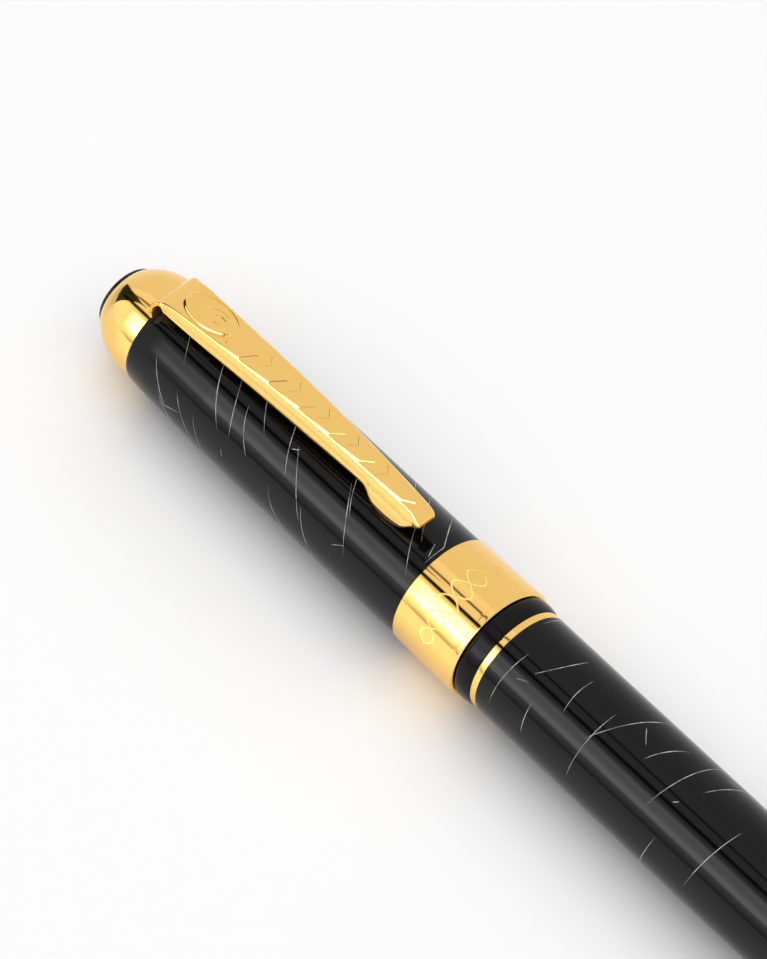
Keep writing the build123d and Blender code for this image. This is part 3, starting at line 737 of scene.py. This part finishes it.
def make_section():
    """Grip with its collar, nose cone and trim ring."""
    collar, land = LIP_X + 0.05, GRIP_X + 28.5
    groove_x, groove_end, groove = -9.15, -8.05, 5.40
    seat_x = -10.0
    grip = eased([(GRIP_X + 0.06, 4.74), (GRIP_X + 7.5, 4.95), (GRIP_X + 19.5, 5.25), (land, 5.52)], 50)
    grip += rounded([(land, 5.52), (land + 2.5, LAND_R, 0.3), (groove_x, LAND_R, 0.05), (groove_x, groove),
                     (groove_end, groove), (groove_end, LAND_R, 0.05), (collar, LAND_R), (collar, 6.55)],
                    closed=False)[1:]
    grip += eased([(collar, 6.58), (collar + 0.10, 6.76), (collar + 0.42, 6.87), (collar + 0.95, COLLAR_R),
                   (collar + 1.6, 6.82), (COLLAR_REAR - 0.12, 6.66), (COLLAR_REAR, 6.56)], 30)
    grip += [(COLLAR_REAR, INSERT_SEAT_R), (seat_x, INSERT_SEAT_R), (seat_x, REFILL_BORE_R),
             (CONE_SEAT_X, REFILL_BORE_R), (CONE_SEAT_X, CONE_SEAT_R), (GRIP_X, CONE_SEAT_R),
             (GRIP_X, 4.66), (GRIP_X + 0.06, 4.74)]
    settle(turned("grip_section_shell", grip, RESIN), "section", "black_resin", "grip_section")

    shoulder, tip_bore = GRIP_X - 0.80, 1.35
    cone = rounded([(CONE_SEAT_X, CONE_SEAT_R), (GRIP_X, CONE_SEAT_R), (GRIP_X, NOSE_R, 0.08),
                    (GRIP_X - 0.62, NOSE_R, 0.18), (shoulder, NOSE_R - 0.17, 0.1)], closed=False)[:-1]
    cone += eased([(shoulder, 4.55), (GRIP_X - 2.0, 3.92), (GRIP_X - 3.4, 2.92), (GRIP_X - 4.5, 1.85)], 30)
    cone += [(NOSE_X + 0.03, 1.72), (NOSE_X, 1.64), (NOSE_X, tip_bore), (-44.0, tip_bore),
             (-41.0, REFILL_BORE_R), (CONE_SEAT_X, REFILL_BORE_R), (CONE_SEAT_X, CONE_SEAT_R)]
    settle(turned("nose_cone_shell", cone, GOLD), "section", "gold_plate", "nose_cone")
    make_ring("trim_ring_band", "section", "section_ring", (RING_X, RING_END, RING_R), INSERT_SEAT_R, 0.16)


def make_ring(name, body, node, size, hole, rounding):
    """A plain gold ring, with rounded outer edges."""
    start, end, radius = size
    outline = rounded([(start, hole), (start, radius, rounding), (end, radius, rounding), (end, hole)])
    settle(turned(name, outline, GOLD), body, "gold_plate", node)


def make_thread():
    """Insert with a real helical thread of 1 mm pitch, run out at both ends."""
    pitch, root, crest, neck = 1.0, THREAD_R - 0.33, THREAD_R, 4.45
    start, stop, run_out = 1.3, INSERT_END - 0.5, 0.8
    lead_in, rows, steps = 6, 150, 120
    xs = np.concatenate([[INSERT_X, INSERT_X, 0.25, 0.25, 1.15, 1.15],
                         np.linspace(1.2, INSERT_END - 0.1, rows), [INSERT_END, INSERT_END, INSERT_X]])
    base = np.concatenate([[REFILL_BORE_R, INSERT_SEAT_R, INSERT_SEAT_R, neck, neck, root],
                           np.full(rows, root), [root - 0.1, REFILL_BORE_R, REFILL_BORE_R]])
    angles = np.linspace(0, 2 * math.pi, steps, endpoint=False)
    phase = (xs[:, None] / pitch + angles[None, :] / (2 * math.pi)) % 1.0
    flank = np.clip(1.6 - np.abs(phase - 0.5) * 4.4, 0, 1)
    fade = (smoothstep(start, start + run_out, xs) * (1 - smoothstep(stop - run_out, stop, xs)))[:, None]
    row = np.arange(len(xs))
    threaded = (row >= lead_in) & (row < lead_in + rows)
    radius = base[:, None] + (crest - root) * flank * fade * threaded[:, None]
    points = np.stack([np.repeat(xs[:, None], steps, 1), radius * np.cos(angles), radius * np.sin(angles)],
                      axis=2).reshape(-1, 3)
    settle(lofted("section_insert_thread", points, steps, BRASS, CREASE, closed=True),
           "section", "brass", "section_insert")


# ---- barrel ----
def make_barrel():
    """Lacquered barrel, and the tail's ring, dome and jewel."""
    taper_x, bevel = 36.0, 0.08
    outline = [(BARREL_X + bevel, BARREL_R)] + eased([
        (taper_x, BARREL_R), (44.0, 6.54), (52.5, 6.27), (61.0, 5.90), (BARREL_END - 0.06, 5.45)], 60)
    outline += [(BARREL_END, 5.39), (BARREL_END, 4.75), (62.0, 4.75), (56.0, 5.2), (taper_x, BUSH_R),
                (BARREL_X, BUSH_R), (BARREL_X, BARREL_R - bevel), (BARREL_X + bevel, BARREL_R)]
    settle(turned("barrel_shell", outline, LACQUER), "barrel", "black_lacquer", "barrel_tube")
    make_ring("tail_ring_band", "barrel", "tail_ring", (TAIL_RING_X, TAIL_RING_END, TAIL_RING_R),
              STUD_HOLE_R, 0.4)

    edge = TAIL_JEWEL_R + 0.12
    seat_x, hole_end = TAIL_END - 0.8, TAIL_END - 1.8
    outline = [(hole_end, 0.0), (hole_end, STUD_HOLE_R), (TAIL_X, STUD_HOLE_R), (TAIL_X, 5.1)]
    outline += eased([(TAIL_X + 0.05, 5.22), (TAIL_X + 1.4, 5.10), (TAIL_X + 3.2, 4.35),
                      (TAIL_END - 0.10, edge + 0.10)], 40)
    outline += [(TAIL_END - 0.02, edge + 0.03), (TAIL_END, edge - 0.03),
                (TAIL_END - 0.04, TAIL_JEWEL_R + 0.02), (seat_x, TAIL_JEWEL_R), (seat_x, 0.0)]
    settle(turned("tail_dome_shell", outline, GOLD), "barrel", "gold_plate", "tail_dome")
    settle(turned("tail_jewel_lens", jewel_outline(TAIL_END, seat_x, TAIL_JEWEL_R, 0.4), JEWEL),
           "barrel", "black_jewel", "tail_jewel")


# ---- hairlines in the lacquer ----
GOLDEN_TURN = math.pi * (3 - math.sqrt(5))


def hairline_tree():
    """Strews fine tapering lines over a lacquered tube. Each line is a thin wire that follows the tube and
    stands only a hair above it, so that its ends fade out as the wire thins."""
    group, tree, given = geometry_tree("hairlines", (
        "Object Tube, Int Count, Int Seed, Float Start X, Float End X, Float Shortest Turn, "
        "Float Longest Turn, Float Lead, Float Lead Spread, Float Bow, Float Wire Radius, Float Stand, "
        "Material Material"))
    spots = tree.add("GeometryNodeMeshLine", None, {"Count": given["Count"]})
    start = tree.add("GeometryNodeCurvePrimitiveLine")
    line = tree.add("GeometryNodeResampleCurve", None, {"Curve": start, "Count": 40})
    strewn = tree.add("GeometryNodeInstanceOnPoints", None, {"Points": spots, "Instance": line})
    lines = tree.add("GeometryNodeRealizeInstances", None, {0: strewn})
    index = tree.add("GeometryNodeInputIndex")
    which = tree.add("GeometryNodeCurveOfPoint", None, {0: index})

    def chance(low, high, offset):
        """A random number for each line."""
        return tree.add("FunctionNodeRandomValue", {"data_type": "FLOAT"},
                        {2: low, 3: high, 7: which, 8: given["Seed"] + float(offset)}, 1)

    share = tree.add("GeometryNodeSplineParameter")
    off = share - 0.5
    turn_range = given["Longest Turn"] - given["Shortest Turn"]
    turn = given["Shortest Turn"] + chance(0.0, 1.0, 1).power(1.6) * turn_range
    angle = (which + chance(-0.35, 0.35, 2)) * GOLDEN_TURN + off * turn
    lead = given["Lead"] + chance(-1.0, 1.0, 3) * given["Lead Spread"]
    bow = chance(-1.0, 1.0, 4) * given["Bow"] * turn
    x_range = given["End X"] - given["Start X"]
    middle = given["Start X"] + (which + chance(0.0, 1.0, 5)) / given["Count"] * x_range
    x = middle + off * turn * lead + bow * off * off
    inside = tree.add("ShaderNodeClamp", None, {0: x, 1: given["Start X"], 2: given["End X"]})
    outward = tree.join(0.0, angle.cos(), angle.sin())
    # each point is dropped on to the tube from well outside it
    away, reach = 0.02, 0.03
    source = tree.shifted(tree.join(inside, 0.0, 0.0), outward, away)
    inward = tree.scaled(outward, -1.0)
    target = tree.add("GeometryNodeObjectInfo", {"transform_space": "ORIGINAL"}, {0: given["Tube"]},
                      "Geometry")
    hit = tree.add("GeometryNodeRaycast", None, {
        "Target Geometry": target, "Source Position": source, "Ray Direction": inward, "Ray Length": reach},
        "Hit Position")
    ends = 1.0 - (off * 2.0).abs().power(2.5)
    ends = ends.math("MAXIMUM", ends, 0.03)
    weight = given["Wire Radius"] * ends
    spot = tree.shifted(hit, inward, weight - given["Stand"] * ends)
    laid = tree.add("GeometryNodeSetPosition", None, {"Geometry": lines, "Position": spot})
    section = tree.add("GeometryNodeCurvePrimitiveCircle", {"mode": "RADIUS"},
                       {"Resolution": 10, "Radius": 1.0})
    wires = tree.add("GeometryNodeCurveToMesh", None, {
        "Curve": laid, "Profile Curve": section, "Scale": weight, "Fill Caps": True})
    smooth = tree.add("GeometryNodeSetShadeSmooth", None, {"Geometry": wires})
    end_tree(group, tree, smooth, given["Material"])
    return group


def make_hairlines():
    """Long slanting arcs and a few short dashes, on the cap and on the barrel."""
    # each set is count, shortest and longest turn, lead in metres for each radian, and its spread
    cap_sets = (46, 0.7, 1.45, 0.0047, 0.0007), (12, 0.08, 0.30, -0.006, 0.012)
    barrel_sets = (46, 0.6, 2.1, -0.0012, 0.0022), (26, 0.08, 0.45, -0.007, 0.014)
    group = hairline_tree()
    empty = bpy.data.meshes.new("start")
    for body, tube, start, end, seed, sets in (
            ("cap", "cap_tube_shell", CAP_TOP + 1.2, BAND_X - 0.6, 11, cap_sets),
            ("barrel", "barrel_shell", BARREL_X + 0.6, BARREL_END - 1.0, 47, barrel_sets)):
        name = body + "_hairlines"
        parts = []
        for k, (count, shortest, longest, lead, spread) in enumerate(sets):
            parts.append(grown(f"{name}_{k}", group, empty, {
                "Tube": bpy.data.objects[tube], "Count": count, "Seed": seed + 20 * k,
                "Start X": start * MM, "End X": end * MM, "Shortest Turn": shortest, "Longest Turn": longest,
                "Lead": lead, "Lead Spread": spread, "Bow": 0.0022,
                "Wire Radius": 0.080 * MM, "Stand": 0.016 * MM, "Material": HAIRLINE}))
        settle(joined(name, parts), body, "black_lacquer")


def joined(name, parts):
    """Several meshes as one piece."""
    whole = bmesh.new()
    for part in parts:
        whole.from_mesh(part.data)
    mesh = parts[0].data
    whole.to_mesh(mesh)
    whole.free()
    for part in parts[1:]:
        bpy.data.objects.remove(part)
    mesh.name = name
    parts[0].name = name
    return parts[0]


# ---- ornament on the band ----
def ornament_tree():
    """A row of fine ticks that runs round the band, their middles following a plain wave."""
    group, tree, given = geometry_tree("wave_of_ticks", (
        "Int Count, Float First Angle, Float Last Angle, Float Middle X, Float Swing, Float Waves, "
        "Float Phase, Float Band Radius, Float Tick Length, Float Tick Radius, Float Stand, "
        "Material Material"))
    row = tree.add("GeometryNodeMeshLine", None, {"Count": given["Count"]})
    index = tree.add("GeometryNodeInputIndex")
    share = index / (given["Count"] - 1.0)
    angle = given["First Angle"] + share * (given["Last Angle"] - given["First Angle"])
    wave = (share * given["Waves"] * (2 * math.pi) + given["Phase"]).sin()
    ease = (share * math.pi).sin().power(0.35)
    radius = given["Band Radius"] - given["Tick Radius"] + given["Stand"]
    x = given["Middle X"] + wave * given["Swing"] * ease
    laid = tree.add("GeometryNodeSetPosition", None, {
        "Geometry": row, "Position": tree.join(x, radius * angle.cos(), radius * angle.sin())})
    bar = tree.add("GeometryNodeMeshUVSphere", None, {"Segments": 8, "Rings": 6, "Radius": 1.0})
    size = tree.join(given["Tick Length"] * 0.5, given["Tick Radius"], given["Tick Radius"])
    ticks = tree.add("GeometryNodeInstanceOnPoints", None, {"Points": laid, "Instance": bar, "Scale": size})
    real = tree.add("GeometryNodeRealizeInstances", None, {0: ticks})
    smooth = tree.add("GeometryNodeSetShadeSmooth", None, {"Geometry": real})
    end_tree(group, tree, smooth, given["Material"])
    return group


def make_ornament():
    """Two crossing waves of ticks on the side of the band away from the floor."""
    group = ornament_tree()
    empty = bpy.data.meshes.new("start")
    parts = []
    for k, phase in enumerate((0.0, math.pi)):
        parts.append(grown(f"band_ornament_{k}", group, empty, {
            "Count": 150, "First Angle": math.radians(58), "Last Angle": math.radians(166),
            "Middle X": (BAND_X + LIP_X) / 2 * MM, "Swing": 1.5 * MM, "Waves": 3.0, "Phase": phase,
            "Band Radius": BAND_FLAT_R * MM, "Tick Length": 0.62 * MM, "Tick Radius": 0.045 * MM,
            "Stand": 0.018 * MM, "Material": GOLD}))
    settle(joined("band_ornament", parts), "cap", "gold_plate")


# ---- CAD nodes that show as they are ----
def dress_cad_nodes():
    """Better materials for the CAD nodes that no other piece stands for."""
    dress = {"o_ring": RUBBER, "snap_ring": WIRE_STEEL, "cap_sleeve": BRASS, "inner_cap": BLACK_PLASTIC,
             "clip_ring": CLIP_GOLD, "cap_stud": STEEL, "stud_washer": STEEL, "barrel_bush": BRASS,
             "tail_bush": BRASS, "tail_stud": STEEL, "refill_spring": WIRE_STEEL, "thrust_washer": STEEL,
             "refill_tube": REFILL_PLASTIC, "refill_nose": REFILL_PLASTIC, "refill_tip": NICKEL,
             "feed_wick": FIBRE, "ink_reservoir": FIBRE, "refill_plug": REFILL_PLASTIC,
             "tip_ball": CARBIDE}
    for name, material in dress.items():
        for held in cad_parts[name].material_slots:
            held.material = material


# ---- floor, light and camera ----
def make_floor():
    """Pale satin table top, just under the band."""
    mesh = bpy.data.meshes.new("floor")
    reach = 3.0
    level = (-BAND_R - 0.005) * MM
    mesh.from_pydata([(-reach, -reach, level), (reach, -reach, level), (reach, reach, level),
                      (-reach, reach, level)], [], [(0, 1, 2, 3)])
    floor = linked("floor", mesh)
    material, tree, shader = finish("pale_floor", Specular_IOR_Level=0.35)
    tree.plug(shader.inputs["Base Color"],
              tree.blend(tree.noise(3.0), (0.81, 0.81, 0.815, 1), (0.825, 0.825, 0.83, 1)))
    tree.plug(shader.inputs["Roughness"], tree.noise(8.0) * 0.04 + 0.28)
    mesh.materials.append(material)


TENT_STRENGTH = 8.3
# (angle about the pen's axis, brightness), from +Y over the top at 90 to -Y at 180
TENT = [(-180, 0.09), (-60, 0.11), (0, 0.110), (76, 0.107), (80, 0.125), (95.0, 0.115), (95.8, 0.018),
        (99.2, 0.018), (100.0, 0.115), (110, 0.12), (112.6, 0.10), (113.8, 0.001), (118.8, 0.001),
        (120.4, 0.10), (126, 0.15), (132, 0.48), (140, 0.42), (147, 0.50), (150.5, 0.66), (158, 0.66),
        (162, 0.25), (172, 0.14), (176, 0.085), (180, 0.075)]


def make_tent():
    """Light tent. What polished faces mirror depends on the angle about the pen's axis: a pale tent with a
    long soft box on the near side and two thin dark gaps above it. Matt faces are lit evenly."""
    world = bpy.data.worlds.new("light_tent")
    bpy.context.scene.world = world
    world.use_nodes = True
    tree = Tree(world.node_tree)
    x, y, z = tree.split(tree.add("ShaderNodeTexCoord", None, None, "Generated"))
    share = z.atan2(y) / (2 * math.pi) + 0.5
    ramp = tree.add("ShaderNodeValToRGB", {"stops": [(angle / 360 + 0.5, (level, level, level, 1))
                                                     for angle, level in TENT]}, {"Fac": share})
    # past the cap's end the soft box gives way to an even wall, which has a dark opening between two edges
    toward_end = 0.0 - x
    wall = toward_end.smooth(0.47, 0.60) * (share - 0.5).smooth(0.33, 0.36)
    walled = tree.blend(wall, ramp, (0.15, 0.15, 0.15, 1))
    above = (x * -0.19 + y * -0.917 + z * -0.353).smooth(-0.012, 0.012)
    below = (x * -0.264 + y * 0.959 + z * 0.10).smooth(-0.012, 0.012)
    mirrored = tree.blend(above * below * toward_end.smooth(0.44, 0.50) * 0.97, walled, (0, 0, 0, 1))
    # matt faces are lit mostly from overhead; the horizon is pale
    overhead = z.smooth(0.40, 0.80) * 0.205
    horizon = (1.0 - z.smooth(0.10, 0.16)) * 0.105
    glossy = tree.add("ShaderNodeLightPath", None, None, "Is Glossy Ray")
    background = world.node_tree.nodes["Background"]
    tree.plug(background.inputs["Color"], tree.blend(glossy, overhead + horizon + 0.012, mirrored))
    background.inputs["Strength"].default_value = TENT_STRENGTH


VIEW_AZIMUTH = 46.4
VIEW_ELEVATION = 53.52
VIEW_ROLL = 2.64
VIEW_DISTANCE = 0.560        # metres
VIEW_LENS = 192.3
AIM_LEFT_OF_BAND = 6.31      # millimetres across the view, from the band's front edge on the axis
AIM_ABOVE_BAND = 12.19


def make_camera():
    """A long lens from above the barrel's near side."""
    azimuth, elevation, roll = (math.radians(a) for a in (VIEW_AZIMUTH, VIEW_ELEVATION, VIEW_ROLL))
    back = Vector((math.sin(azimuth) * math.cos(elevation), -math.cos(azimuth) * math.cos(elevation),
                   math.sin(elevation)))
    turn = back.to_track_quat("Z", "Y").to_matrix() @ Matrix.Rotation(roll, 3, "Z")
    right, up = turn.col[0], turn.col[1]
    aim = Vector((BAND_X * MM, 0, 0)) - right * AIM_LEFT_OF_BAND * MM + up * AIM_ABOVE_BAND * MM
    lens = bpy.data.cameras.new("camera")
    lens.lens = VIEW_LENS
    lens.sensor_width = 36.0
    lens.clip_start, lens.clip_end = 0.01, 20.0
    camera = linked("camera", lens)
    camera.matrix_world = Matrix.Translation(aim + back * VIEW_DISTANCE) @ turn.to_4x4()
    bpy.context.scene.camera = camera


# ---- the whole pen ----
make_cap_tube()
make_cap_band()
make_finial()
make_clip()
make_section()
make_thread()
make_barrel()
make_hairlines()
make_ornament()
dress_cad_nodes()
make_floor()
make_tent()
make_camera()
bpy.context.scene.view_settings.view_transform = "Standard"
